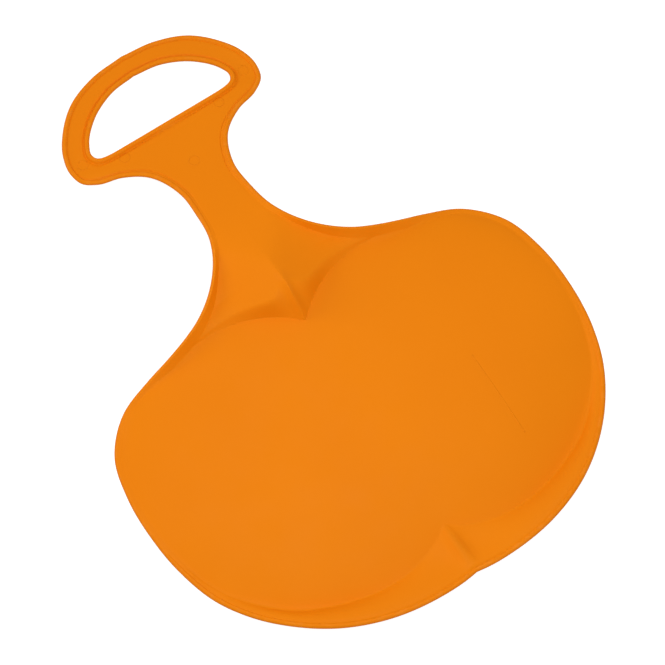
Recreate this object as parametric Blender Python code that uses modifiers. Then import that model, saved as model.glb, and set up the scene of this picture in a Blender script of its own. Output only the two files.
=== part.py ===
"""Snow slider: one moulded plate with a heart-shaped seat, a raised neck and a flat grip.

Metres, +Z up. The grip points along +Y, the object is symmetric about the plane x = 0, and it
rests on z = 0. Every size below is in millimetres.

Half of the plate is lofted as ribs that run from the middle line out to the rim and back
underneath. Along each rib the folds of the moulding fall on the same row, so they stay crisp.
The Mirror modifier makes the other half.
"""

import bmesh
import bpy
import numpy as np

MM = 0.001
WALL = 3.2

# The two main sizes. The seat's outline is drawn for this width, and the neck takes up any
# change of the length.
SEAT_WIDTH = 423
LENGTH = 560.5
DRAWN_WIDTH = 423
DRAWN_LENGTH = 560.5

# The rim, from the corner at the back round to the front of the grip: x, y and height.
RIM_BACK = (
    (0, -278, -3.5),
    (12, -279.6, -3.4),
    (36, -280, -3.3),
    (80, -274, -3),
    (121, -258, -3.4),
    (154.5, -233.5, -6.6),
    (179, -206, -11.5),
    (196.5, -176.5, -13.3),
    (207, -143, -10.8),
)
RIM_SIDE = (
    (211.5, -104, -8.6),
    (209.5, -62.5, -8.8),
    (198.5, -24, -9.9),
    (172, 3.5, -7.3),
    (140, 14.5, 0.8),
    (117, 19.5, 8),
    (96, 25.5, 13.2),
)
RIM_NECK = (
    (80, 32, 16.4),
    (65, 41.5, 18.9),
    (49, 56.5, 21),
    (38, 72, 21.4),
    (31, 88, 19.4),
)
RIM_GRIP = (
    (27, 116, 12.4),
    (27, 140, 7.5),
    (41.5, 171.5, 3),
    (60, 183.5, 1.6),
    (80, 189.5, 0.8),
    (91.5, 198, 0.3),
    (95, 211, 0),
    (91, 230, 0),
    (80, 247.5, 0),
    (60, 266, 0.4),
    (32, 277, 0.8),
    (0, 280.5, 1),
)
LIP_END = len(RIM_BACK) - 1
NECK_FOOT = LIP_END + len(RIM_SIDE)
NECK_WAIST = NECK_FOOT + len(RIM_NECK)

# The fold in front of the back lip, from the middle line to the side of the seat.
LIP_FOLD = (
    (0, -227),
    (5, -230.5),
    (18, -237.5),
    (34, -243),
    (48, -246),
    (64, -246.5),
    (81, -245),
    (99, -241),
    (119, -234),
    (140, -224),
    (156, -212),
    (168, -200),
    (177, -189.5),
    (184.5, -178.5),
    (191, -166),
)
LIP_FOLD_HEIGHT = ((0, -6.5), (6, -7.6), (20, -9.2), (45, -11), (88, -13.2), (130, -14.4), (170, -14.6))
LIP_FOLD_HEIGHT += ((186, -14.2), (196, -13))

# Beyond the back lip: how far in from the rim the border's fold lies, and how far below the rim.
# Each is keyed to the number of a rim point.
BORDER = ((8, 7.5), (9, 6), (11, 6), (12, 5), (13, 5.5), (14, 7.5), (15, 8.3), (16, 8.4), (17, 7.3), (18, 5.4))
BORDER += ((19, 5), (20, 6.2), (23, 6.2), (24, 5), (32, 5))
BORDER_DROP = ((12, 0), (13, 2), (14, 5.5), (15, 8.6), (16, 7.4), (17, 8), (18, 6), (19, 2.8), (20, 0.5), (23, 0.5), (24, 0))

# Where each rib starts: on the middle line as far as the hole, then round the edge of the hole.
WAIST_Y = RIM_NECK[-1][1]
SEAT_START = -150
NECK_TIP = -14.5
RIB_START = (
    (20, 0, 88),
    (22, 0, 136),
    (23, 0, 166),
    (24, 0, 188),
    (24.6, 0, 206.5),
)
HOLE_EDGE = (
    (24.6, 0, 206.5),
    (25.3, 34, 206.5),
    (26, 59, 207),
    (26.6, 68.5, 209.5),
    (27.3, 72, 216.5),
    (28, 69, 225),
    (29, 60, 237),
    (30, 45, 249),
    (31, 24, 258),
    (32, 0, 261),
)
HOLE_START = HOLE_EDGE[0][0]

# The curve where the neck rises from the seat: its ends are known, this point bends it.
NECK_FOOT_BEND = (38.3, 23.5)
NECK_FOOT_WIDTH = 15
NECK_FOOT_NOSE = 1.3
NECK_FOOT_NOSE_REACH = 0.16
NECK_FOOT_NARROWS = 0.35
NECK_FOOT_BELLY = 0.1

SEAT_CROWN = 4
SEAT_SIDE_SLOPE = 0.083
SEAT_TOP_WIDTH = 105
SEAT_FRONT_FALL = 0.1
SEAT_FRONT_FALL_LENGTH = 90
SEAT_FRONT_LIFT = 3
SEAT_FRONT_LIFT_LENGTH = 70
SEAT_FRONT_LIFT_WIDTH = 160
SEAT_BACK_DROP = 14.3
SEAT_BACK_REACH = 105
SEAT_EDGE_REACH = 15
NECK_CROWN = (
    (-15, 26),
    (0, 28.6),
    (20, 29),
    (40, 27.6),
    (60, 23.6),
    (75, 21),
    (86, 19.2),
    (100, 16.3),
    (116, 12.4),
    (133, 8.6),
    (153, 5.4),
    (171, 3),
    (190, 1),
    (222, 0),
    (262, 0.3),
    (281, 0.8),
)
NECK_FLAT_HALF_WIDTH = ((-15, 0), (30, 0), (38, 1.5), (48, 8.4), (63, 19.5), (75, 28.8), (90, 42), (140, 60), (290, 120))
NECK_SIDE_SLOPE = 0.48
NECK_SIDE_HOLLOW = 1.4
NECK_KEEL = 3
NECK_KEEL_WIDTH = 5
NECK_KEEL_LENGTH = 45

BEAD_RADIUS = 2.3
BEAD_DROP = 1
BEAD_FOOT = np.radians(150)
LIP_ROUND = 0.12
LIP_RIDGE = 4
LIP_RIDGE_WIDTH = 9

# Laid out level with its mean outline, the plate is tipped onto the four places that it rests on.
TIP_DOWN = 0.027
LIFT = 12.1

RUNNER_X = 102.5
RUNNER_WIDTH = 6
RUNNER_DEPTH = 6
RUNNER_ENDS = (-197, -116)

RIBS_SEAT = 34
RIBS_NECK = 14
RIBS_GRIP = 26
INNER_ROWS = np.array([0, 0.05, 0.1, 0.17, 0.27, 0.38, 0.5, 0.63, 0.77, 0.88, 0.95, 1])
BORDER_ROWS = np.array([0.3, 0.6, 1])
BEAD_ANGLES = np.radians([90, 30, -30, -90])


def curve(keys, values, at):
    """A smooth curve through the values: cubic pieces whose slopes are the weighted means."""
    keys = np.asarray(keys, float)
    values = np.asarray(values, float).reshape(len(keys), -1)
    gaps = np.diff(keys)
    steps = np.diff(values, axis=0) / gaps[:, None]
    slopes = np.empty_like(values)
    slopes[0] = steps[0]
    slopes[-1] = steps[-1]
    before = gaps[:-1, None]
    after = gaps[1:, None]
    slopes[1:-1] = (after * steps[:-1] + before * steps[1:]) / (after + before)
    at = np.clip(np.asarray(at, float), keys[0], keys[-1])
    flat = at.ravel()
    i = np.clip(np.searchsorted(keys, flat, side="right") - 1, 0, len(keys) - 2)
    gap = gaps[i][:, None]
    t = (flat - keys[i])[:, None] / gap
    start = (2 * t**3 - 3 * t**2 + 1) * values[i] + (t**3 - 2 * t**2 + t) * gap * slopes[i]
    end = (3 * t**2 - 2 * t**3) * values[i + 1] + (t**3 - t**2) * gap * slopes[i + 1]
    return (start + end).reshape(at.shape + (values.shape[1],))


def table(pairs, at):
    pairs = np.asarray(pairs, float)
    return curve(pairs[:, 0], pairs[:, 1], at)[..., 0]


def ramp(x):
    x = np.clip(x, 0, 1)
    return x * x * (3 - 2 * x)


def chords(points):
    points = np.asarray(points, float)
    steps = np.hypot(*np.diff(points[:, :2], axis=0).T)
    return np.concatenate([[0], np.cumsum(steps)])


def seat_height(x, y):
    """A crown with straight sides that rises at the neck and bends down before the back lip."""
    side = SEAT_SIDE_SLOPE * (np.hypot(x, SEAT_TOP_WIDTH) - SEAT_TOP_WIDTH)
    height = SEAT_CROWN - side * (1 + SEAT_FRONT_FALL * ramp(y / SEAT_FRONT_FALL_LENGTH + 1))
    before_neck = (np.minimum(y, 10) - 10) / SEAT_FRONT_LIFT_LENGTH
    height = height + SEAT_FRONT_LIFT * np.exp(-(before_neck**2) - (x / SEAT_FRONT_LIFT_WIDTH) ** 2)
    out = np.abs(x) / stretch()[0]
    lip = -247 + 68 * (np.clip(out - 50, 0, None) / 134) ** 2.2
    near_lip = np.clip(1 - np.clip(y - lip, 0, None) / SEAT_BACK_REACH, 0, 1) ** 2
    near_lip *= (1 - 0.38 * (out / 186) ** 3) * (1 - ramp((y + 175) / 100))
    return height - SEAT_BACK_DROP * near_lip


def neck_height(x, y):
    """Level across for the flat half width, then a straight fall, with a 3 mm round between."""
    extra = stretch()[1]
    y = y - extra * np.clip((y - WAIST_Y) / (RIM_GRIP[0][1] + extra - WAIST_Y), 0, 1)
    beyond = x - table(NECK_FLAT_HALF_WIDTH, y)
    beyond = (beyond + np.sqrt(beyond**2 + 9)) / 2
    return table(NECK_CROWN, y) - NECK_SIDE_SLOPE * beyond, beyond


def stretch():
    """How much wider the seat is than it is drawn, as a factor, and how much longer the neck."""
    return SEAT_WIDTH / DRAWN_WIDTH, LENGTH - DRAWN_LENGTH


def ribs():
    """Top surface of the half plate: point[rib, row] from the rib's start to the rim."""
    wider, longer = stretch()
    seat_rim = np.array(RIM_BACK + RIM_SIDE, float) * (wider, 1, 1)
    RIM = np.concatenate([seat_rim, RIM_NECK, np.add(RIM_GRIP, (0, longer, 0))])
    length = chords(RIM)
    number = np.arange(len(RIM))
    last = number[-1]
    to_neck = length[NECK_FOOT]
    to_waist = length[NECK_WAIST]
    along = np.concatenate(
        [
            np.linspace(0, to_neck, RIBS_SEAT),
            to_neck + (to_waist - to_neck) * np.linspace(0, 1, RIBS_NECK + 1)[1:] ** 1.4,
            np.interp(np.linspace(NECK_WAIST, last, RIBS_GRIP + 1)[1:], number, length),
        ]
    )
    hole_at = np.interp(HOLE_START, number, length)
    along[np.argmin(np.abs(along - hole_at))] = hole_at
    neck = RIBS_SEAT - 1
    rim = curve(length, RIM, along)
    rim[[0, -1], 0] = 0
    index = np.interp(along, length, number)

    # The fold of the border: the drawn fold at the back, and a set distance in from the rim beyond.
    tangent = (curve(length, RIM, along + 0.01) - curve(length, RIM, along - 0.01))[:, :2]
    tangent /= np.linalg.norm(tangent, axis=1, keepdims=True)
    tangent[0] = (1, 0)
    tangent[-1] = (-1, 0)
    outward = np.stack([tangent[:, 1], -tangent[:, 0]], axis=1)
    fold = rim[:, :2] - outward * np.interp(index, *np.array(BORDER).T)[:, None]
    back = along < length[LIP_END]
    drawn = np.array(LIP_FOLD) * (wider, 1)
    lip = chords(drawn)
    fold[back] = curve(lip, drawn, along[back] / length[LIP_END] * lip[-1])
    fold[[0, -1], 0] = 0
    drop = np.interp(index, *np.array(BORDER_DROP).T)
    fold_height = rim[:, 2] - drop
    lip_share = ramp((length[LIP_END] * 1.06 - along) / (length[LIP_END] * 0.12))
    fold_height += lip_share * (table(LIP_FOLD_HEIGHT, fold[:, 0] / wider) - fold_height)

    # Each rib starts on the middle line or on the edge of the hole, and bends with the neck's foot.
    share = np.clip(along / to_neck, 0, 1) ** 1.3
    start = np.stack([0 * along, SEAT_START + (NECK_TIP - SEAT_START) * share], axis=1)
    on_neck = np.clip((along - to_neck) / (to_waist - to_neck), 0, 1)
    start[:, 1] += (RIB_START[0][2] - NECK_TIP) * on_neck
    for line, first in ((RIB_START, NECK_WAIST), (HOLE_EDGE, HOLE_START)):
        places = np.array(line)
        places[places[:, 2] > WAIST_Y, 2] += longer
        chosen = index > first
        start[chosen] = curve(places[:, 0], places[:, 1:], index[chosen])
    start[index <= HOLE_START + 1e-6, 0] = 0
    start[-1, 0] = 0
    middle = (start + fold) / 2
    near = ramp(1 - (to_neck - along) / (to_neck * 0.55))
    near[along > to_neck] = ramp(1 - (along - to_neck) / ((to_waist - to_neck) * 0.8))[along > to_neck]
    middle += near[:, None] * (np.array(NECK_FOOT_BEND) - middle[neck])
    t = np.linspace(0, 1, 101)[:, None, None]
    fine = (1 - t) ** 2 * start + 2 * t * (1 - t) * middle + t**2 * fold
    steps = np.hypot(*np.moveaxis(np.diff(fine, axis=0), -1, 0))
    walked = np.concatenate([np.zeros((1, len(along))), np.cumsum(steps, axis=0)])
    span = walked[-1]
    inner = np.empty((len(along), len(INNER_ROWS), 2))
    for i in range(len(along)):
        for axis in (0, 1):
            inner[i, :, axis] = np.interp(INNER_ROWS * span[i], walked[:, i], fine[:, i, axis])
    x = inner[..., 0]
    y = inner[..., 1]

    # Heights: the seat falls to the lip's fold, and the neck stands on the curve of its foot.
    to_fold = (1 - INNER_ROWS) * span[:, None]
    seat = seat_height(x, y)
    seat += (fold_height - seat[:, -1])[:, None] * np.exp(-to_fold / SEAT_EDGE_REACH)
    raised, beyond_flat = neck_height(x, y)
    flank_share = ramp((22 - index) / 2)[:, None]
    flank = (beyond_flat / np.maximum(beyond_flat[:, -1:], 1)) ** NECK_SIDE_HOLLOW
    flank = flank * flank_share + INNER_ROWS**3 * (1 - flank_share)
    raised += (fold_height - raised[:, -1])[:, None] * flank
    keel_place = np.clip((y - NECK_TIP) / NECK_KEEL_LENGTH, 0, 1)
    keel = NECK_KEEL * np.exp(-((x / NECK_KEEL_WIDTH) ** 2)) * np.sin(np.pi * keel_place**0.7)
    from_foot = np.hypot(x - x[neck], y - y[neck])
    nose = NECK_FOOT_NOSE * np.exp(-((INNER_ROWS / NECK_FOOT_NOSE_REACH) ** 2))
    share = 1 + nose - NECK_FOOT_NARROWS * INNER_ROWS**5
    rise = np.clip(from_foot / (NECK_FOOT_WIDTH * share), 0, 1)
    belly = NECK_FOOT_BELLY
    rise = (rise + belly * rise**2 - (1 + 2 * belly) / 3 * rise**3) * 3 / (2 + belly)
    raised = seat[neck] + (raised - seat[neck]) * rise + keel
    is_seat = (np.arange(len(along)) <= neck)[:, None]
    height = np.where(is_seat, seat, raised)

    # The border climbs from the fold to the rim. At the back it is a rounded lip with a ridge.
    edge = rim[:, :2] - outward * BEAD_RADIUS * (1 - np.cos(BEAD_FOOT))
    edge[[0, -1], 0] = 0
    border = fold[:, None] + BORDER_ROWS[:, None] * (edge - fold)[:, None]
    climb = (rim[:, 2] - height[:, -1])[:, None]
    rounding = LIP_ROUND * 4 * BORDER_ROWS * (1 - BORDER_ROWS) * lip_share[:, None]
    border_height = height[:, -1:] + climb * (BORDER_ROWS + rounding)
    bx = border[..., 0]
    ridge = (np.exp(-bx / LIP_RIDGE_WIDTH) - 0.6) * np.exp(-((bx / 40) ** 2))
    border_height += LIP_RIDGE * ridge * np.sin(np.pi * BORDER_ROWS) * lip_share[:, None]

    top = np.concatenate(
        [np.dstack([inner, height]), np.dstack([border, border_height])],
        axis=1,
    )
    return top, rim, outward, index


def plate():
    top, rim, outward, index = ribs()
    count, rows = top.shape[:2]

    # The underside is the top moved down by the wall, more where the plate is steep.
    across = np.gradient(top, axis=1)
    length = np.gradient(top, axis=0)
    normal = np.cross(length, across)
    steep = np.linalg.norm(normal, axis=2) / np.maximum(np.abs(normal[..., 2]), 1e-9)
    under = top.copy()
    under[..., 2] -= WALL * np.clip(steep, 1, 1.35)
    # The fold's underside is a narrow level land, which the slider rests on at the back.
    fold = len(INNER_ROWS) - 1
    land = (under[:, fold, 2] + 0.6)[:, None]
    under[:, fold - 1 : fold + 1, 2] = np.minimum(under[:, fold - 1 : fold + 1, 2], land)

    # The rim ends in a round bead.
    centre = rim.copy()
    centre[:, :2] -= outward * BEAD_RADIUS
    centre[:, 2] -= BEAD_DROP
    bead = np.repeat(centre[:, None], len(BEAD_ANGLES), axis=1)
    bead[..., :2] += BEAD_RADIUS * np.cos(BEAD_ANGLES)[:, None] * outward[:, None]
    bead[..., 2] += BEAD_RADIUS * np.sin(BEAD_ANGLES)
    bead[[0, -1], :, 0] = 0
    under[:, -1, :2] = 0.5 * (under[:, -1, :2] + under[:, -2, :2])
    under[:, -1, 2] = 0.5 * (under[:, -1, 2] + under[:, -2, 2])
    section = np.concatenate([top, bead, under[:, ::-1]], axis=1)

    # The edge of the hole has a smaller bead, seen from the second end of each rib.
    hole = np.flatnonzero(index >= HOLE_START - 1e-6)
    inward = top[hole, 0, :2] - top[hole, 1, :2]
    inward /= np.linalg.norm(inward, axis=1, keepdims=True)
    lip = np.repeat(top[hole, :1], 3, axis=1)
    for j, (out, down) in enumerate(((1.2, -0.6), (1.9, 1.6), (1.2, WALL))):
        lip[:, j, :2] += out * inward
        lip[:, j, 2] -= down
    lip[[0, -1], :, 0] = 0

    points = np.concatenate([section.reshape(-1, 3), lip.reshape(-1, 3)])
    tipped = points.copy()
    tipped[:, 1] += TIP_DOWN * points[:, 2]
    tipped[:, 2] = np.maximum(points[:, 2] - TIP_DOWN * points[:, 1] + LIFT, 0)
    wide = section.shape[1]
    faces = []
    for i in range(count - 1):
        for j in range(wide - 1):
            a = i * wide + j
            faces.append((a, a + wide, a + wide + 1, a + 1))
    base = count * wide
    for i in range(len(hole) - 1):
        for j in range(4):
            quad = []
            for rib, row in ((i, j), (i, j + 1), (i + 1, j + 1), (i + 1, j)):
                if row == 0:
                    quad.append(hole[rib] * wide)
                elif row == 4:
                    quad.append(hole[rib] * wide + wide - 1)
                else:
                    quad.append(base + rib * 3 + row - 1)
            faces.append(tuple(int(v) for v in quad))
    mesh = bpy.data.meshes.new("seat_and_grip_moulding")
    mesh.from_pydata((tipped * MM).tolist(), [], faces)
    built = bmesh.new()
    built.from_mesh(mesh)
    bmesh.ops.recalc_face_normals(built, faces=built.faces)
    built.to_mesh(mesh)
    built.free()
    return mesh


def runner(side):
    """A straight rib under the seat, tapered at both ends. Its top line runs inside the wall."""
    rear, front = RUNNER_ENDS
    half = RUNNER_WIDTH / 2
    middle = (rear + front) / 2
    crest = [(y, seat_height(RUNNER_X, y) - TIP_DOWN * y + LIFT) for y in (rear - 10, rear, middle, front, front + 10)]
    inside = [(y + TIP_DOWN * z, z - WALL / 2) for y, z in crest]
    under = [(y, z - WALL / 2 - RUNNER_DEPTH) for y, z in (inside[1], inside[3])]
    profile = [inside[0], *under, inside[4], inside[3], inside[2], inside[1]]
    built = bmesh.new()
    rings = []
    for x in (side * RUNNER_X - half, side * RUNNER_X + half):
        rings.append([built.verts.new((x * MM, y * MM, z * MM)) for y, z in profile])
    built.faces.new(rings[0])
    built.faces.new(rings[1][::-1])
    for i in range(len(profile)):
        j = (i + 1) % len(profile)
        built.faces.new((rings[0][i], rings[1][i], rings[1][j], rings[0][j]))
    bmesh.ops.recalc_face_normals(built, faces=built.faces)
    mesh = bpy.data.meshes.new("runner")
    built.to_mesh(mesh)
    built.free()
    return mesh


for old in list(bpy.data.objects):
    bpy.data.objects.remove(old)

parts = bpy.data.collections.new("snow_slider")
helpers = bpy.data.collections.new("helpers")
bpy.context.scene.collection.children.link(parts)
bpy.context.scene.collection.children.link(helpers)

plastic = bpy.data.materials.new("orange_plastic")
plastic.use_nodes = True
shader = plastic.node_tree.nodes["Principled BSDF"]
shader.inputs["Base Color"].default_value = (0.86, 0.23, 0.016, 1)
shader.inputs["Roughness"].default_value = 0.42

moulding = bpy.data.objects.new("seat_and_grip_moulding", plate())
moulding.data.materials.append(plastic)
parts.objects.link(moulding)
mirror = moulding.modifiers.new("other half", "MIRROR")
mirror.use_axis = (True, False, False)
mirror.merge_threshold = 0.00005
mirror.use_clip = True

for side, name in ((1, "runner_right"), (-1, "runner_left")):
    rib = bpy.data.objects.new(name, runner(side))
    helpers.objects.link(rib)
    rib.hide_render = True
    rib.display_type = "WIRE"
    join = moulding.modifiers.new(name, "BOOLEAN")
    join.operation = "UNION"
    join.solver = "EXACT"
    join.object = rib

moulding.data.shade_smooth()
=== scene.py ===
"""A one-piece snow slider in satin orange plastic, lying on a pale studio floor.

The plate is symmetric about x = 0 and its grip points along +Y. Sizes are written in millimetres,
with heights above the grip's level, and turned into metres where each mesh is made.
"""

import math

import bmesh
import bpy
import numpy as np
from mathutils import Matrix, Vector


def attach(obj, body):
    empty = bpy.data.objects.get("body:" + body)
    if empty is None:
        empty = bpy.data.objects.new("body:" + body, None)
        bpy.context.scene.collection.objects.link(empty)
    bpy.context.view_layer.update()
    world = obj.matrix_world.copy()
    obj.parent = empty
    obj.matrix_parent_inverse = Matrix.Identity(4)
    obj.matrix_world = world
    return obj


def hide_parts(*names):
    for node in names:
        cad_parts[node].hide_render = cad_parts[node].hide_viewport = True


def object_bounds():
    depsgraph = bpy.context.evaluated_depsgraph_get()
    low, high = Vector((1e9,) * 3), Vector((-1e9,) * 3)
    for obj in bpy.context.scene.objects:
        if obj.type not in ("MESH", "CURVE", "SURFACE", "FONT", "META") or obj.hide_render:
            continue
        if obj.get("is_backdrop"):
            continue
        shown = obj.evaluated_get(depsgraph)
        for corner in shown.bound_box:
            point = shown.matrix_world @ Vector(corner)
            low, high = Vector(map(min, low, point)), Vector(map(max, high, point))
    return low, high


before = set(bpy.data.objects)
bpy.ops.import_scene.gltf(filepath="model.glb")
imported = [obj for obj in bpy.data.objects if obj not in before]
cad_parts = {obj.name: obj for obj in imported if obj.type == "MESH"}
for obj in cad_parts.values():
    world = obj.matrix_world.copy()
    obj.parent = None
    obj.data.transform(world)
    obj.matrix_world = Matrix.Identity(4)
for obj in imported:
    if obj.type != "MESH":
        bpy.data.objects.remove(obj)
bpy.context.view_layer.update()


# THE MOULDED PLATE
# Seat, back lip, neck and grip are one injection moulding in satin polyethylene, about 3 mm
# thick, with a round bead along its rim. Nothing is fixed to it, so it is one object here.

# The rim of the right half, from the middle of the back to the grip's tip, as x, y and height.
# The place of a point in this list is its rim number, and tables below name places by it.
RIM = np.array(
    [
        (0, -278, -3.5),
        (12, -279.6, -3.4),
        (36, -280, -3.3),
        (80, -274, -3),
        (121, -258, -3.4),
        (154.5, -233.5, -6.6),
        (179, -206, -11.5),
        (196.5, -176.5, -13.3),
        (207, -143, -10.8),
        (211.5, -104, -8.6),
        (209.5, -62.5, -8.8),
        (198.5, -24, -9.9),
        (172, 3.5, -7.3),
        (140, 14.5, 0.8),
        (117, 19.5, 8),
        (96, 25.5, 13.2),
        (80, 32, 16.4),
        (65, 41.5, 18.9),
        (49, 56.5, 21),
        (38, 72, 21.4),
        (31, 88, 19.4),
        (27, 116, 12.4),
        (27, 140, 7.5),
        (41.5, 171.5, 3),
        (60, 183.5, 1.6),
        (80, 189.5, 0.8),
        (91.5, 198, 0.3),
        (95, 211, 0),
        (91, 230, 0),
        (80, 247.5, 0),
        (60, 266, 0.4),
        (32, 277, 0.8),
        (0, 280.5, 1),
    ]
)
LIP_END = 8
NECK_FOOT = 15
NECK_WAIST = 20
HOLE_START = 24.6


def smooth_curve(keys, values, at):
    """Cubic pieces through the values at the keys, each slope the gap-weighted mean of its
    neighbours' slopes."""
    keys = np.asarray(keys, float)
    values = np.asarray(values, float).reshape(len(keys), -1)
    gaps = np.diff(keys)
    steps = np.diff(values, axis=0) / gaps[:, None]
    before = gaps[:-1, None]
    after = gaps[1:, None]
    mean = (after * steps[:-1] + before * steps[1:]) / (after + before)
    slopes = np.concatenate([steps[:1], mean, steps[-1:]])
    at = np.clip(np.asarray(at, float), keys[0], keys[-1])
    flat = at.ravel()
    i = np.clip(np.searchsorted(keys, flat, side="right") - 1, 0, len(keys) - 2)
    gap = gaps[i][:, None]
    t = (flat - keys[i])[:, None] / gap
    start = (2 * t**3 - 3 * t**2 + 1) * values[i] + (t**3 - 2 * t**2 + t) * gap * slopes[i]
    end = (3 * t**2 - 2 * t**3) * values[i + 1] + (t**3 - t**2) * gap * slopes[i + 1]
    return (start + end).reshape(at.shape + (values.shape[1],))


def height_table(pairs, at):
    """The smooth curve through pairs of place and height."""
    pairs = np.asarray(pairs, float)
    return smooth_curve(pairs[:, 0], pairs[:, 1], at)[..., 0]


def lengths_along(points):
    """Straight distance walked in plan from the first point to each point."""
    steps = np.hypot(*np.diff(points[:, :2], axis=0).T)
    return np.concatenate([[0], np.cumsum(steps)])


def rise(place, low, high):
    """0 up to the low place, 1 from the high one, and 3t^2 - 2t^3 at the share t between them."""
    t = np.clip((place - low) / (high - low), 0, 1)
    return t * t * (3 - 2 * t)


# The half plate is a grid of ribs and rows. A rib runs from the middle line, or the hole's edge,
# to the rim: u says how far round the rim it ends, and v how far along the rib a point lies.
# Ribs crowd towards the neck's foot and the hole, where the shape turns fastest.
SEAT_RIBS = 150
NECK_RIBS = 70
STEM_RIBS = 44
GRIP_RIBS = 89
SEAT_CROWDING = 1.25
NECK_CROWDING = 1.5
STEM_CROWDING = 1.7
rim_length = lengths_along(RIM)
rim_number = np.arange(len(RIM))
foot_at = rim_length[NECK_FOOT]
waist_at = rim_length[NECK_WAIST]
lip_end_at = rim_length[LIP_END]
hole_at = np.interp(HOLE_START, rim_number, rim_length)
seat_u = foot_at * (1 - (1 - np.linspace(0, 1, SEAT_RIBS)) ** SEAT_CROWDING)
neck_share = np.linspace(0, 1, NECK_RIBS + 1)[1:]
neck_u = foot_at + (waist_at - foot_at) * neck_share**NECK_CROWDING
stem_share = np.linspace(0, 1, STEM_RIBS + 1)[1:]
stem_u = waist_at + (hole_at - waist_at) * (1 - (1 - stem_share) ** STEM_CROWDING)
grip_u = np.linspace(hole_at, rim_length[-1], GRIP_RIBS + 1)[1:]
u = np.concatenate([seat_u, neck_u, stem_u, grip_u])
foot_rib = len(seat_u) - 1
hole_rib = len(seat_u) + len(neck_u) + len(stem_u) - 1
rim = smooth_curve(rim_length, RIM, u)
rim[[0, -1], 0] = 0
number = np.interp(u, rim_length, rim_number)


def by_number(pairs):
    """For each rib, the value on straight lines through the pairs of rim number and value."""
    return np.interp(number, *np.array(pairs).T)


# Inside the rim runs a fold. At the foot of the back lip it has its own line and heights, which
# fade out between two shares of the lip's length. Elsewhere it lies one border inside the rim and
# one drop below it.
LIP_FOLD = np.array(
    [
        (0, -227),
        (5, -230.5),
        (18, -237.5),
        (34, -243),
        (48, -246),
        (64, -246.5),
        (81, -245),
        (99, -241),
        (119, -234),
        (140, -224),
        (156, -212),
        (168, -200),
        (177, -189.5),
        (184.5, -178.5),
        (191, -166),
        (196.5, -153),
        (200, -142),
    ]
)
LIP_FOLD_HEIGHT = (
    (0, -6.5),
    (6, -7.6),
    (20, -9.2),
    (45, -11),
    (88, -13.2),
    (130, -14.4),
    (170, -14.6),
    (186, -14.2),
    (196, -13),
    (200, -11.8),
)
LIP_FADES = (0.94, 1.06)
BORDER = (
    (8, 7.5),
    (9, 6),
    (11, 6),
    (12, 5),
    (13, 5.5),
    (14, 7.5),
    (15, 8.3),
    (16, 8.4),
    (17, 7.3),
    (18, 5.4),
    (19, 5),
    (20, 6.2),
    (23, 6.2),
    (24, 5),
    (32, 5),
)
BORDER_DROP = (
    (12, 0),
    (13, 2),
    (14, 5.5),
    (15, 8.6),
    (16, 7.4),
    (17, 8),
    (18, 6),
    (19, 2.8),
    (20, 0.5),
    (23, 0.5),
    (24, 0),
)
TANGENT_STEP = 0.01
ahead = smooth_curve(rim_length, RIM, u + TANGENT_STEP)
behind = smooth_curve(rim_length, RIM, u - TANGENT_STEP)
tangent = (ahead - behind)[:, :2]
tangent /= np.linalg.norm(tangent, axis=1, keepdims=True)
tangent[0] = (1, 0)
tangent[-1] = (-1, 0)
outward = np.stack([tangent[:, 1], -tangent[:, 0]], axis=1)
border_width = by_number(BORDER)[:, None]
fold = rim[:, :2] - outward * border_width
at_back = u < lip_end_at
lip_length = lengths_along(LIP_FOLD)
fold[at_back] = smooth_curve(lip_length, LIP_FOLD, u[at_back] / lip_end_at * lip_length[-1])
fold[[0, -1], 0] = 0
lip_share = 1 - rise(u / lip_end_at, *LIP_FADES)
fold_height = rim[:, 2] - by_number(BORDER_DROP)
fold_height += lip_share * (height_table(LIP_FOLD_HEIGHT, fold[:, 0]) - fold_height)

# Where the ribs start: along the seat's middle line, crowded at the back, then up the neck from
# its tip, then round the hole. The last two lists hold rim number, x and y.
SEAT_START = -150
SEAT_START_CROWDING = 1.3
NECK_TIP = -14.5
STEM_START = np.array(
    [
        (20, 0, 88),
        (22, 0, 136),
        (23, 0, 166),
        (24, 0, 188),
        (24.6, 0, 206.5),
    ]
)
HOLE_EDGE = np.array(
    [
        (24.6, 0, 206.5),
        (25.3, 34, 206.5),
        (26, 59, 207),
        (26.6, 68.5, 209.5),
        (27.3, 72, 216.5),
        (28, 69, 225),
        (29, 60, 237),
        (30, 45, 249),
        (31, 24, 258),
        (32, 0, 261),
    ]
)
share = np.clip(u / foot_at, 0, 1) ** SEAT_START_CROWDING
start = np.stack([0 * u, SEAT_START + (NECK_TIP - SEAT_START) * share], axis=1)
start[:, 1] += (STEM_START[0, 2] - NECK_TIP) * np.clip((u - foot_at) / (waist_at - foot_at), 0, 1)
beyond_waist = number > NECK_WAIST
start[beyond_waist] = smooth_curve(STEM_START[:, 0], STEM_START[:, 1:], number[beyond_waist])
at_hole = number > HOLE_START
start[at_hole] = smooth_curve(HOLE_EDGE[:, 0], HOLE_EDGE[:, 1:], number[at_hole])
start[: hole_rib + 1, 0] = 0
start[-1, 0] = 0

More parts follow.
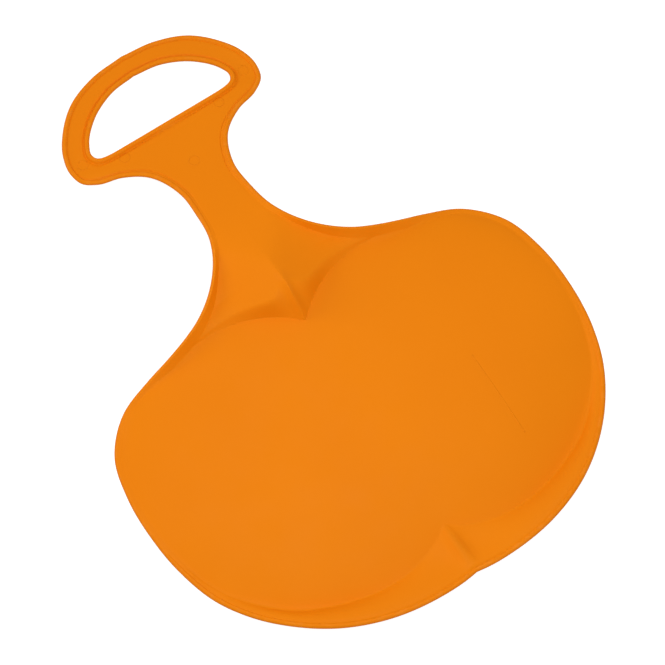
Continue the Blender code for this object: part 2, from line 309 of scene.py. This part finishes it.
# In plan a rib is the curve (1 - t)^2 start + 2t(1 - t) bend + t^2 fold. The bend lies halfway
# between the ends, and near the neck's foot it moves to one place, which draws the foot's line.
NECK_FOOT_BEND = (38.3, 23.5)
SEAT_BEND_REACH = 0.55
NECK_BEND_REACH = 0.8
RIB_STEPS = 120
bend = (start + fold) / 2
near_foot = rise(u, (1 - SEAT_BEND_REACH) * foot_at, foot_at)
past = u > foot_at
near_foot[past] = 1 - rise(u[past], foot_at, foot_at + NECK_BEND_REACH * (waist_at - foot_at))
bend += near_foot[:, None] * (np.array(NECK_FOOT_BEND) - bend[foot_rib])
t = np.linspace(0, 1, RIB_STEPS + 1)[:, None, None]
rib_line = (1 - t) ** 2 * start + 2 * t * (1 - t) * bend + t**2 * fold
walked = np.hypot(*np.moveaxis(np.diff(rib_line, axis=0), -1, 0)).cumsum(axis=0)
walked = np.concatenate([np.zeros((1, len(u))), walked])
span = walked[-1][:, None]

# Rows crowd towards the fold and towards the edge of the hole, where the shape turns fastest.
INNER_ROWS = 46
BORDER_ROWS = 14
ROW_CROWDING = 0.55
even = np.linspace(0, 1, INNER_ROWS)
inner_v = ROW_CROWDING * np.sin(np.pi / 2 * even) ** 2 + (1 - ROW_CROWDING) * even
border_v = np.linspace(0, 1, BORDER_ROWS + 1)[1:]
place = inner_v * span
rib_index = np.arange(len(u))[:, None]
segment = np.minimum((walked[:, :, None] <= place[None]).sum(axis=0), RIB_STEPS) - 1
low = walked[segment, rib_index]
high = walked[segment + 1, rib_index]
part = ((place - low) / (high - low))[..., None]
inner = rib_line[segment, rib_index] * (1 - part) + rib_line[segment + 1, rib_index] * part
x = inner[..., 0]
y = inner[..., 1]
to_fold = (1 - inner_v) * span

# The seat is a shallow crown with a turn down at the back. Near the fold it bends to the fold's
# height by a gap that shrinks exponentially with the distance.
SEAT_CROWN = 4
SEAT_SIDE_SLOPE = 0.083
SEAT_TOP_WIDTH = 105
SEAT_FRONT_FALL = 0.1
SEAT_FRONT_FALL_ENDS = (-90, 0)
SEAT_FRONT_LIFT = 3
SEAT_FRONT_LIFT_AT = 10
SEAT_FRONT_LIFT_LENGTH = 70
SEAT_FRONT_LIFT_WIDTH = 160
SEAT_BACK_DROP = 14.3
SEAT_BACK_REACH = 105
SEAT_BACK_Y = -247
SEAT_BACK_STRAIGHT = 50
SEAT_BACK_TURN = (134, 68)
SEAT_BACK_TURN_POWER = 2.2
SEAT_BACK_FADES = (-175, -75)
SEAT_CORNER_X = 186
SEAT_CORNER_EASE = 0.38
SEAT_EDGE_REACH = 15


def seat_height(x, y):
    """A crown whose sides run out straight, as a hyperbola's do, steeper in front, with a bell
    added at the neck. At the back it drops with the square of the nearness to a line, which runs
    straight across and then forward with a power of x. The drop is less by the cube of x, and it
    fades out towards the front."""
    side = SEAT_SIDE_SLOPE * (np.hypot(x, SEAT_TOP_WIDTH) - SEAT_TOP_WIDTH)
    height = SEAT_CROWN - side * (1 + SEAT_FRONT_FALL * rise(y, *SEAT_FRONT_FALL_ENDS))
    behind_lift = (np.minimum(y, SEAT_FRONT_LIFT_AT) - SEAT_FRONT_LIFT_AT) / SEAT_FRONT_LIFT_LENGTH
    height += SEAT_FRONT_LIFT * np.exp(-(behind_lift**2) - (x / SEAT_FRONT_LIFT_WIDTH) ** 2)
    turn_width, turn_length = SEAT_BACK_TURN
    turned = np.clip(np.abs(x) - SEAT_BACK_STRAIGHT, 0, None) / turn_width
    back_line = SEAT_BACK_Y + turn_length * turned**SEAT_BACK_TURN_POWER
    drop = np.clip(1 - np.clip(y - back_line, 0, None) / SEAT_BACK_REACH, 0, 1) ** 2
    drop *= 1 - SEAT_CORNER_EASE * (np.abs(x) / SEAT_CORNER_X) ** 3
    drop *= 1 - rise(y, *SEAT_BACK_FADES)
    return height - SEAT_BACK_DROP * drop


seat = seat_height(x, y)
seat += (fold_height - seat[:, -1])[:, None] * np.exp(-to_fold / SEAT_EDGE_REACH)

# The neck and the grip have a height along the middle line and a flat top of a given half width.
NECK_CROWN = (
    (-15, 26),
    (0, 28.6),
    (20, 29),
    (40, 27.6),
    (60, 23.6),
    (75, 21),
    (86, 19.2),
    (100, 16.3),
    (116, 12.4),
    (133, 8.6),
    (153, 5.4),
    (171, 3),
    (190, 1),
    (222, 0),
    (262, 0.3),
    (281, 0.8),
)
NECK_FLAT_HALF_WIDTH = (
    (-15, 0),
    (30, 0),
    (38, 1.5),
    (48, 8.4),
    (63, 19.5),
    (75, 28.8),
    (90, 42),
    (140, 60),
    (290, 120),
)
NECK_SIDE_SLOPE = 0.55
NECK_SIDE_ROUND = 10
NECK_FLANK_POWER = 1.8
NECK_FLANK_ENDS = (20, 22)
NECK_KEEL = 3
NECK_KEEL_WIDTH = 5
NECK_KEEL_LENGTH = 45
NECK_KEEL_POWER = 0.7


def neck_height(x, y):
    """Level across for the flat half width, then a straight fall, with a round between them: half
    of d + hypot(d, round) for the distance d beyond the flat, less its value at the middle line.
    The second value is that rounded distance."""
    flat = height_table(NECK_FLAT_HALF_WIDTH, y)
    at_middle = np.hypot(flat, NECK_SIDE_ROUND) - flat
    beyond = (x - flat + np.hypot(x - flat, NECK_SIDE_ROUND) - at_middle) / 2
    return height_table(NECK_CROWN, y) - NECK_SIDE_SLOPE * beyond, beyond


# A power of the distance beyond the flat bends the neck's flanks to meet the fold, and the cube
# of v does the same on the grip. A keel, a bell across and a bowed sine along, runs up from the
# neck's tip.
raised, beyond_flat = neck_height(x, y)
on_flank = 1 - rise(number, *NECK_FLANK_ENDS)[:, None]
flank = (beyond_flat / np.maximum(beyond_flat[:, -1:], 1)) ** NECK_FLANK_POWER
raised += (fold_height - raised[:, -1])[:, None] * (flank * on_flank + inner_v**3 * (1 - on_flank))
keel_place = np.clip((y - NECK_TIP) / NECK_KEEL_LENGTH, 0, 1)
keel = NECK_KEEL * np.exp(-((x / NECK_KEEL_WIDTH) ** 2)) * np.sin(np.pi * keel_place**NECK_KEEL_POWER)

# From the seat the neck climbs within the foot's width, which is widest at the tip. With b the
# belly, the share climbed at the share r of the width is r + br^2 - (1 + 2b)r^3/3, scaled to 1.
NECK_FOOT_WIDTH = 9
NECK_FOOT_NOSE = 3
NECK_FOOT_NOSE_REACH = 0.17
NECK_FOOT_NARROWS = 0.35
NECK_FOOT_BELLY = 0.1
from_foot = np.hypot(x - x[foot_rib], y - y[foot_rib])
nose = NECK_FOOT_NOSE * np.exp(-((inner_v / NECK_FOOT_NOSE_REACH) ** 2))
r = np.clip(from_foot / (NECK_FOOT_WIDTH * (1 + nose - NECK_FOOT_NARROWS * inner_v**5)), 0, 1)
climbed = r + NECK_FOOT_BELLY * r**2 - (1 + 2 * NECK_FOOT_BELLY) / 3 * r**3
climbed *= 3 / (2 + NECK_FOOT_BELLY)
raised = seat[foot_rib] + (raised - seat[foot_rib]) * climbed + keel
height = np.where(rib_index <= foot_rib, seat, raised)

# Low relief on the neck and grip: a raised border round the hole with a groove outside it, and
# the double line beside the neck. from_hole is the shortest distance to the hole's edge.
HOLE_BEAD = 2.2
HOLE_BEAD_REACH = ((20, 4.6), (26, 4.6), (27.3, 3.4), (32, 3))
HOLE_BEAD_TOP = 0.5
HOLE_GROOVE = 0.8
HOLE_GROOVE_WIDTH = 0.9
HOLE_GROOVE_STARTS = (23, 24.2)
NECK_GROOVE = 0.5
NECK_GROOVE_PLACE = (4.4, 7.2)
NECK_GROOVE_SIDE = 0.5
NECK_GROOVE_STARTS = (21.3, 22.2)
NECK_GROOVE_STOPS = (24.7, 25.4)
edge_step = np.diff(start[hole_rib:], axis=0)
from_edge = inner[:, :, None] - start[hole_rib:-1]
nearest = np.clip((from_edge * edge_step).sum(axis=3) / (edge_step**2).sum(axis=1), 0, 1)
from_hole = np.linalg.norm(from_edge - nearest[..., None] * edge_step, axis=3).min(axis=2)
bead_reach = by_number(HOLE_BEAD_REACH)[:, None]
relief = HOLE_BEAD * (1 - rise(from_hole, HOLE_BEAD_TOP * bead_reach, bead_reach))
hole_groove = np.exp(-(((from_hole - bead_reach) / HOLE_GROOVE_WIDTH) ** 2))
relief -= HOLE_GROOVE * hole_groove * rise(number, *HOLE_GROOVE_STARTS)[:, None]
from_rim = to_fold + border_width
groove_near, groove_far = NECK_GROOVE_PLACE
neck_groove = rise(from_rim, groove_near, groove_near + NECK_GROOVE_SIDE)
neck_groove *= 1 - rise(from_rim, groove_far - NECK_GROOVE_SIDE, groove_far)
along_neck = rise(number, *NECK_GROOVE_STARTS) * (1 - rise(number, *NECK_GROOVE_STOPS))
relief -= NECK_GROOVE * neck_groove * along_neck[:, None]

# The back lip and the border climb from the fold to the bead's foot, the lip with a rounding of
# 4v(1 - v) and a short ridge at its middle. Along the seat's sides the bead only rounds the edge
# off. Elsewhere it stands up from its foot, on the grip with a fine groove beside it.
BEAD_RADIUS = 2.3
BEAD_DROP = 1
BEAD_FOOT_ANGLE = 150
SEAT_BEAD_FOOT_ANGLE = 96
SEAT_BEAD_STARTS = (7.5, 9)
SEAT_BEAD_STOPS = (19, 21.5)
LIP_ROUND = 0.28
LIP_RIDGE = 7
LIP_RIDGE_WIDTH = 4.5
LIP_RIDGE_DIP = 0.6
LIP_RIDGE_REACH = 40
FOOT_GROOVE = 0.3
FOOT_GROOVE_WIDTH = 0.7
FOOT_GROOVE_STARTS = (22, 24)
seat_edge = rise(number, *SEAT_BEAD_STARTS) * (1 - rise(number, *SEAT_BEAD_STOPS))
bead_foot = BEAD_FOOT_ANGLE + (SEAT_BEAD_FOOT_ANGLE - BEAD_FOOT_ANGLE) * seat_edge
bead_drop = BEAD_DROP + (BEAD_RADIUS - BEAD_DROP) * seat_edge
edge = rim[:, :2] - outward * (BEAD_RADIUS * (1 - np.cos(np.radians(bead_foot))))[:, None]
edge[[0, -1], 0] = 0
border = fold[:, None] + border_v[:, None] * (edge - fold)[:, None]
climb = (rim[:, 2] - height[:, -1])[:, None]
rounding = LIP_ROUND * 4 * border_v * (1 - border_v) * lip_share[:, None]
border_height = height[:, -1:] + climb * (border_v + rounding)
border_x = border[..., 0]
ridge = np.exp(-border_x / LIP_RIDGE_WIDTH) - LIP_RIDGE_DIP
ridge *= np.exp(-((border_x / LIP_RIDGE_REACH) ** 2))
border_height += LIP_RIDGE * ridge * np.sin(np.pi * border_v) * lip_share[:, None]
border_length = np.linalg.norm(edge - fold, axis=1)[:, None]
to_bead = np.concatenate([border_length + to_fold, (1 - border_v) * border_length], axis=1)
form = np.concatenate([np.dstack([inner, height]), np.dstack([border, border_height])], axis=1)
top = form.copy()
top[:, :INNER_ROWS, 2] += relief
foot_groove = np.exp(-((to_bead / FOOT_GROOVE_WIDTH) ** 2))
top[..., 2] -= FOOT_GROOVE * foot_groove * rise(number, *FOOT_GROOVE_STARTS)[:, None]

# The underside follows the plain form without its relief, one wall lower and more where the form
# is steep. At the fold it has a narrow level land, on which the slider rests at the back. Away
# from the fold every second row is enough there.
WALL = 3.2
MOST_STEEPNESS = 1.35
LAND_START = 0.95
LAND_RISE = 0.6
FINE_ROWS = 4
normal = np.cross(np.gradient(form, axis=0), np.gradient(form, axis=1))
steepness = np.linalg.norm(normal, axis=2) / np.maximum(np.abs(normal[..., 2]), 1e-9)
under = form.copy()
under[..., 2] -= WALL * np.clip(steepness, 1, MOST_STEEPNESS)
fold_row = INNER_ROWS - 1
land = slice(np.searchsorted(inner_v, LAND_START), fold_row + 1)
under[:, land, 2] = np.minimum(under[:, land, 2], under[:, fold_row, 2, None] + LAND_RISE)
fine_from = fold_row - FINE_ROWS
under = under[:, np.r_[0:fine_from:2, fine_from : fold_row + 1, fold_row + 2 : under.shape[1] : 2]]

# The bead is an arc from its foot over the rim and down to its lowest place. Where it reaches
# furthest out stands the mould's parting line.
BEAD_STEPS = 14
BEAD_END_ANGLE = -90
PARTING_LINE = 0.12
PARTING_LINE_HALF_ANGLE = 9
turned = np.linspace(0, 1, BEAD_STEPS + 1)[1:]
bead_angle = bead_foot[:, None] + (BEAD_END_ANGLE - bead_foot[:, None]) * turned
bead_radius = BEAD_RADIUS + PARTING_LINE * (np.abs(bead_angle) < PARTING_LINE_HALF_ANGLE)
bead_angle = np.radians(bead_angle)
bead = np.repeat(rim[:, None], BEAD_STEPS, axis=1)
bead[..., :2] += (bead_radius * np.cos(bead_angle) - BEAD_RADIUS)[..., None] * outward[:, None]
bead[..., 2] += bead_radius * np.sin(bead_angle) - bead_drop[:, None]
bead[[0, -1], :, 0] = 0
section = np.concatenate([top, bead, under[:, ::-1]], axis=1)

# The edge of the hole is rounded off with half an ellipse, on the ribs that start there.
HOLE_EDGE_ROUND = 1.9
HOLE_EDGE_STEPS = 10
hole = np.arange(hole_rib, len(u))
into_hole = top[hole, 0, :2] - top[hole, 1, :2]
into_hole /= np.linalg.norm(into_hole, axis=1, keepdims=True)
hole_angle = np.radians(np.linspace(90, -90, HOLE_EDGE_STEPS + 1))[1:-1]
hole_edge = np.repeat(top[hole, :1], len(hole_angle), axis=1)
half_depth = (top[hole, 0, 2] - under[hole, 0, 2])[:, None] / 2
hole_edge[..., :2] += HOLE_EDGE_ROUND * np.cos(hole_angle)[:, None] * into_hole[:, None]
hole_edge[..., 2] += half_depth * (np.sin(hole_angle) - 1)
hole_edge[[0, -1], :, 0] = 0

# Two marks on the mesh steer the plastic: how exposed a place is to rubbing, and the underside.
BEAD_SIDE_RUB = 0.3
HOLE_RUB_REACH = 2
HOLE_EDGE_RUB = 0.5
first_under = top.shape[1] + BEAD_STEPS
rubbed = np.zeros(section.shape[:2])
rubbed[:, top.shape[1] : first_under] = np.clip(np.sin(bead_angle) + BEAD_SIDE_RUB, 0, 1)
rubbed[:, :INNER_ROWS] = np.clip(1 - from_hole / HOLE_RUB_REACH, 0, 1)
beneath = np.zeros(section.shape[:2])
beneath[:, first_under:] = 1
hole_size = hole_edge[..., 0].size
rubbed = np.concatenate([rubbed.ravel(), np.full(hole_size, HOLE_EDGE_RUB)])
beneath = np.concatenate([beneath.ravel(), np.zeros(hole_size)])

# The plate is tipped and lifted until its lands carry it. What would go below the floor, which is
# a little of the lands and of the seat's side edges, is flat there. Then the skin is closed round
# the hole's edge and mirrored.
TIP_DOWN = 0.027
LIFT = 12.1
MERGE_DISTANCE = 0.02
laid = np.concatenate([section.reshape(-1, 3), hole_edge.reshape(-1, 3)])
points = laid.copy()
points[:, 1] += TIP_DOWN * laid[:, 2]
points[:, 2] = np.maximum(laid[:, 2] - TIP_DOWN * laid[:, 1] + LIFT, 0)
wide = section.shape[1]
corner = (np.arange(len(u) - 1)[:, None] * wide + np.arange(wide - 1)).ravel()
skin = np.stack([corner, corner + wide, corner + wide + 1, corner + 1], axis=1)
hole_points = len(u) * wide + np.arange(hole_size).reshape(len(hole), -1)
round_edge = np.column_stack([hole * wide, hole_points, hole * wide + wide - 1])
this_rib = round_edge[:-1]
next_rib = round_edge[1:]
wall = np.stack([this_rib[:, :-1], this_rib[:, 1:], next_rib[:, 1:], next_rib[:, :-1]], axis=-1)
faces = np.concatenate([skin, wall.reshape(-1, 4)])

plate_mesh = bpy.data.meshes.new("slider_plate")
plate_mesh.from_pydata((points / 1000).tolist(), [], faces.tolist())
for name, values in (("rubbed", rubbed), ("beneath", beneath)):
    plate_mesh.attributes.new(name, "FLOAT", "POINT").data.foreach_set("value", values)
plate = bpy.data.objects.new("slider_plate", plate_mesh)
bpy.context.scene.collection.objects.link(plate)
mirror = plate.modifiers.new("other half", "MIRROR")
mirror.merge_threshold = MERGE_DISTANCE / 1000
bpy.context.view_layer.objects.active = plate
bpy.ops.object.modifier_apply(modifier=mirror.name)


def face_outwards(mesh):
    """Turns every face of a closed mesh outwards."""
    shell = bmesh.new()
    shell.from_mesh(mesh)
    bmesh.ops.recalc_face_normals(shell, faces=shell.faces)
    shell.to_mesh(mesh)
    shell.free()


face_outwards(plate.data)

# Under the seat two straight ribs stiffen it and steer. Their top edge runs inside the wall, and
# beyond their ends they run out into it.
RUNNER_X = 102.5
RUNNER_WIDTH = 6
RUNNER_DEPTH = 6
RUNNER_ENDS = (-197, -116)
RUNNER_RUN_OUT = 10
RUNNER_ROUND = 0.8
rear, front = RUNNER_ENDS
rib_y = np.array([rear - RUNNER_RUN_OUT, rear, (rear + front) / 2, front, front + RUNNER_RUN_OUT])
rib_z = seat_height(RUNNER_X, rib_y) - TIP_DOWN * rib_y + LIFT - WALL / 2
rib_y = rib_y + TIP_DOWN * rib_z
upper = np.column_stack([rib_y, rib_z])
lower = upper[[1, 3]] - (0, RUNNER_DEPTH)
profile = np.concatenate([upper[:1], lower, upper[:0:-1]])
corner = np.arange(len(profile))
following = (corner + 1) % len(profile)
rib_sides = np.stack([corner, following, following + len(profile), corner + len(profile)], axis=1)
rib_faces = [corner[::-1].tolist(), (corner + len(profile)).tolist()] + rib_sides.tolist()
extras = []
for side in (-1, 1):
    across_x = side * RUNNER_X + np.repeat([-RUNNER_WIDTH / 2, RUNNER_WIDTH / 2], len(profile))
    rib_points = np.column_stack([across_x, np.tile(profile, (2, 1))]) / 1000
    rib_mesh = bpy.data.meshes.new("runner")
    rib_mesh.from_pydata(rib_points.tolist(), [], rib_faces)
    runner = bpy.data.objects.new("runner", rib_mesh)
    bpy.context.scene.collection.objects.link(runner)
    bevel = runner.modifiers.new("soft edges", "BEVEL")
    bevel.width = RUNNER_ROUND / 1000
    bevel.segments = 3
    extras.append(runner)

# Faint marks of the mould on top: rings where ejector pins stood, and a line over the right rib,
# the only one with a line in the photograph. They start above the plate and are laid down on it.
MARK_RISE = 0.05
MARK_START_HEIGHT = 60
RING_PLACES = np.array([(82, 212), (-82, 212), (48, 198), (-48, 198), (0, 162)])
RING_RADII = (4.1, 4.9)
RING_SIDES = 48
LINE_WIDTH = 1
LINE_POINTS = 60
around = np.linspace(0, 2 * np.pi, RING_SIDES + 1)[:-1]
circle = np.stack([np.cos(around), np.sin(around)], axis=1)
ring_xy = RING_PLACES[:, None, None] + np.array(RING_RADII)[None, :, None, None] * circle
step = np.arange(RING_SIDES)
after = (step + 1) % RING_SIDES
one_ring = np.stack([step, step + RING_SIDES, after + RING_SIDES, after], axis=1)
ring_faces = one_ring + 2 * RING_SIDES * np.arange(len(RING_PLACES))[:, None, None]
line_x = RUNNER_X + LINE_WIDTH * np.array([-0.5, 0.5])
line_y = np.linspace(*RUNNER_ENDS, LINE_POINTS)
line_xy = np.stack(np.broadcast_arrays(line_x[:, None], line_y[None]), axis=-1)
step = np.arange(LINE_POINTS - 1)
line_faces = np.stack([step, step + LINE_POINTS, step + LINE_POINTS + 1, step + 1], axis=1)
mark_faces = np.concatenate([ring_faces.reshape(-1, 4), line_faces + ring_xy[..., 0].size])
mark_xy = np.concatenate([ring_xy.reshape(-1, 2), line_xy.reshape(-1, 2)])
mark_points = np.column_stack([mark_xy, np.full(len(mark_xy), MARK_START_HEIGHT)]) / 1000
mark_mesh = bpy.data.meshes.new("mould_marks")
mark_mesh.from_pydata(mark_points.tolist(), [], mark_faces.tolist())
marks = bpy.data.objects.new("mould_marks", mark_mesh)
bpy.context.scene.collection.objects.link(marks)
wrap = marks.modifiers.new("laid on the plate", "SHRINKWRAP")
wrap.target = plate
wrap.wrap_method = "PROJECT"
wrap.use_project_z = True
wrap.use_negative_direction = True
wrap.use_positive_direction = False
thick = marks.modifiers.new("thin rise", "SOLIDIFY")
thick.thickness = 2 * MARK_RISE / 1000
thick.offset = 0
extras.append(marks)

# Ribs and marks belong to the one moulding, so they join it.
for extra in extras:
    bpy.ops.object.select_all(action="DESELECT")
    extra.select_set(True)
    bpy.context.view_layer.objects.active = extra
    bpy.ops.object.convert(target="MESH")
for extra in extras:
    extra.select_set(True)
plate.select_set(True)
bpy.context.view_layer.objects.active = plate
bpy.ops.object.join()
face_outwards(plate.data)
plate.data.shade_smooth()

ORANGE = (0.812, 0.211, 0.002, 1)
ORANGE_DRIFTED = (0.828, 0.219, 0.002, 1)
ORANGE_WORN = (0.87, 0.30, 0.04, 1)
ORANGE_SCRATCHED = (0.88, 0.36, 0.10, 1)
plastic = bpy.data.materials.new("satin_orange_plastic")
plastic.use_nodes = True
nodes = plastic.node_tree.nodes
links = plastic.node_tree.links
shader = nodes["Principled BSDF"]
shader.inputs["IOR"].default_value = 1.45
shader.inputs["Specular IOR Level"].default_value = 0.07
place_on = nodes.new("ShaderNodeTexCoord").outputs["Object"]


def cloud(scale, detail, stretch=(1, 1, 1)):
    """Soft noise of the given scale per metre on the object's own coordinates, from 0 to 1."""
    mapping = nodes.new("ShaderNodeMapping")
    mapping.inputs["Scale"].default_value = stretch
    links.new(place_on, mapping.inputs["Vector"])
    noise = nodes.new("ShaderNodeTexNoise")
    noise.inputs["Scale"].default_value = scale
    noise.inputs["Detail"].default_value = detail
    links.new(mapping.outputs["Vector"], noise.inputs["Vector"])
    return noise.outputs["Fac"]


def spread(value, low, high, to_low, to_high):
    """Maps low..high of the value straight onto to_low..to_high, and stops at the ends."""
    mapped = nodes.new("ShaderNodeMapRange")
    for socket, limit in (("From Min", low), ("From Max", high), ("To Min", to_low), ("To Max", to_high)):
        mapped.inputs[socket].default_value = limit
    links.new(value, mapped.inputs["Value"])
    return mapped.outputs["Result"]


def product(first, second):
    """The product of two values."""
    times = nodes.new("ShaderNodeMath")
    times.operation = "MULTIPLY"
    links.new(first, times.inputs[0])
    links.new(second, times.inputs[1])
    return times.outputs[0]


def blend(share, first, second):
    """A colour between two colours: the first where the share is 0, the second where it is 1. The
    mix node takes them at its inputs 6 and 7."""
    mix = nodes.new("ShaderNodeMix")
    mix.data_type = "RGBA"
    links.new(share, mix.inputs["Factor"])
    for socket, colour in ((mix.inputs[6], first), (mix.inputs[7], second)):
        if isinstance(colour, tuple):
            socket.default_value = colour
        else:
            links.new(colour, socket)
    return mix.outputs[2]


def mark(name):
    """The value of a mark on the mesh."""
    attribute = nodes.new("ShaderNodeAttribute")
    attribute.attribute_name = name
    return attribute.outputs["Fac"]


# The orange drifts a little across the plate, as pigment does in a moulding. Rubbed edges and
# the sliding face are slightly paler, and the gloss varies in patches.
drift = spread(cloud(scale=7, detail=2), low=0.35, high=0.65, to_low=0, to_high=1)
colour = blend(drift, ORANGE, ORANGE_DRIFTED)
flecks = spread(cloud(scale=160, detail=3), low=0.5, high=0.64, to_low=0, to_high=0.16)
worn = product(mark("rubbed"), flecks)
streaks = cloud(scale=60, detail=4, stretch=(9, 0.5, 9))
scratched = product(mark("beneath"), spread(streaks, low=0.6, high=0.7, to_low=0, to_high=0.3))
colour = blend(scratched, blend(worn, colour, ORANGE_WORN), ORANGE_SCRATCHED)
links.new(colour, shader.inputs["Base Color"])
patches = spread(cloud(scale=45, detail=4), low=0.3, high=0.7, to_low=0.44, to_high=0.58)
links.new(patches, shader.inputs["Roughness"])

# The mould's fine grain: bumps of about half a millimetre, a hundredth of one high.
bump = nodes.new("ShaderNodeBump")
bump.inputs["Strength"].default_value = 0.35
bump.inputs["Distance"].default_value = 0.00002
links.new(cloud(scale=1900, detail=2), bump.inputs["Height"])
links.new(bump.outputs["Normal"], shader.inputs["Normal"])
plate.data.materials.append(plastic)
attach(plate, "root")
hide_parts("seat_and_grip_moulding")


# FLOOR, LIGHT AND CAMERA
# A pale matt floor with just enough glow to look white, an even white surround with two soft
# boxes and a small one above, and the photograph's steep view. Sizes are in metres here.

FLOOR_HALF_WIDTH = 4
FLOOR_GREY = 0.5
FLOOR_ROUGHNESS = 0.9
FLOOR_GLOW = 0.82
SURROUND = 0.534
# Each lamp's name, width, watts, place and aim.
LAMPS = (
    ("overhead_softbox", 0.5, 2.9, (-0.05, -0.05, 0.95), (-0.05, -0.1, 0)),
    ("left_softbox", 1.0, 12.9, (-1.55, 1.55, 0.98), (0, 0, 0)),
    ("front_softbox", 1.2, 9.3, (0, -1.54, 1.84), (0, 0, 0)),
)


def seen_directly(tree):
    """1 for rays from the camera, off gloss or through glass, which see the white set, else 0."""
    path = tree.nodes.new("ShaderNodeLightPath")
    seen = path.outputs["Is Camera Ray"]
    for other in ("Is Glossy Ray", "Is Transmission Ray"):
        total = tree.nodes.new("ShaderNodeMath")
        total.operation = "ADD"
        total.use_clamp = True
        tree.links.new(seen, total.inputs[0])
        tree.links.new(path.outputs[other], total.inputs[1])
        seen = total.outputs[0]
    return seen


floor_corners = [(-1, -1, 0), (1, -1, 0), (1, 1, 0), (-1, 1, 0)]
floor_mesh = bpy.data.meshes.new("floor")
floor_mesh.from_pydata((FLOOR_HALF_WIDTH * np.array(floor_corners)).tolist(), [], [(0, 1, 2, 3)])
floor = bpy.data.objects.new("floor", floor_mesh)
bpy.context.scene.collection.objects.link(floor)
paint = bpy.data.materials.new("pale_floor")
paint.use_nodes = True
floor_shader = paint.node_tree.nodes["Principled BSDF"]
floor_shader.inputs["Base Color"].default_value = (FLOOR_GREY, FLOOR_GREY, FLOOR_GREY, 1)
floor_shader.inputs["Roughness"].default_value = FLOOR_ROUGHNESS
floor_shader.inputs["Specular IOR Level"].default_value = 0
floor_shader.inputs["Emission Color"].default_value = (1, 1, 1, 1)
glow = paint.node_tree.nodes.new("ShaderNodeMath")
glow.operation = "MULTIPLY"
glow.inputs[1].default_value = FLOOR_GLOW
paint.node_tree.links.new(seen_directly(paint.node_tree), glow.inputs[0])
paint.node_tree.links.new(glow.outputs[0], floor_shader.inputs["Emission Strength"])
floor.data.materials.append(paint)
floor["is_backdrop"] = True

world = bpy.data.worlds.new("studio")
world.use_nodes = True
air = world.node_tree
air.nodes["Background"].inputs["Color"].default_value = (1, 1, 1, 1)
strength = air.nodes.new("ShaderNodeMapRange")
strength.inputs["To Min"].default_value = SURROUND
strength.inputs["To Max"].default_value = 1
air.links.new(seen_directly(air), strength.inputs["Value"])
air.links.new(strength.outputs["Result"], air.nodes["Background"].inputs["Strength"])
bpy.context.scene.world = world

for name, size, watts, place_at, aim in LAMPS:
    lamp = bpy.data.lights.new(name, "AREA")
    lamp.shape = "SQUARE"
    lamp.size = size
    lamp.energy = watts
    softbox = bpy.data.objects.new(name, lamp)
    bpy.context.scene.collection.objects.link(softbox)
    softbox.location = place_at
    softbox.rotation_mode = "QUATERNION"
    softbox.rotation_quaternion = (Vector(place_at) - Vector(aim)).to_track_quat("Z", "Y")

# The camera is placed as it looks at the level plate, and then tipped and lifted with the plate.
CAMERA_TURN = math.radians(-33.04)
CAMERA_RISE = math.radians(69.18)
CAMERA_AIM = Vector((0.0145, -0.0342, 0))
CAMERA_DISTANCE = 4.282
CAMERA_REACH = 20
SENSOR_WIDTH = 36
LENS = 272.7
camera_data = bpy.data.cameras.new("camera")
camera_data.sensor_width = SENSOR_WIDTH
camera_data.lens = LENS
camera_data.clip_end = CAMERA_REACH
camera = bpy.data.objects.new("camera", camera_data)
bpy.context.scene.collection.objects.link(camera)
turn = Matrix.Rotation(CAMERA_TURN, 4, "Z") @ Matrix.Rotation(math.pi / 2 - CAMERA_RISE, 4, "X")
level = Matrix.Translation(CAMERA_AIM) @ turn @ Matrix.Translation((0, 0, CAMERA_DISTANCE))
tipped = Matrix.Translation((0, 0, LIFT / 1000)) @ Matrix.Rotation(-TIP_DOWN, 4, "X")
camera.matrix_world = tipped @ level
bpy.context.scene.camera = camera
bpy.context.scene.view_settings.view_transform = "Standard"

low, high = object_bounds()
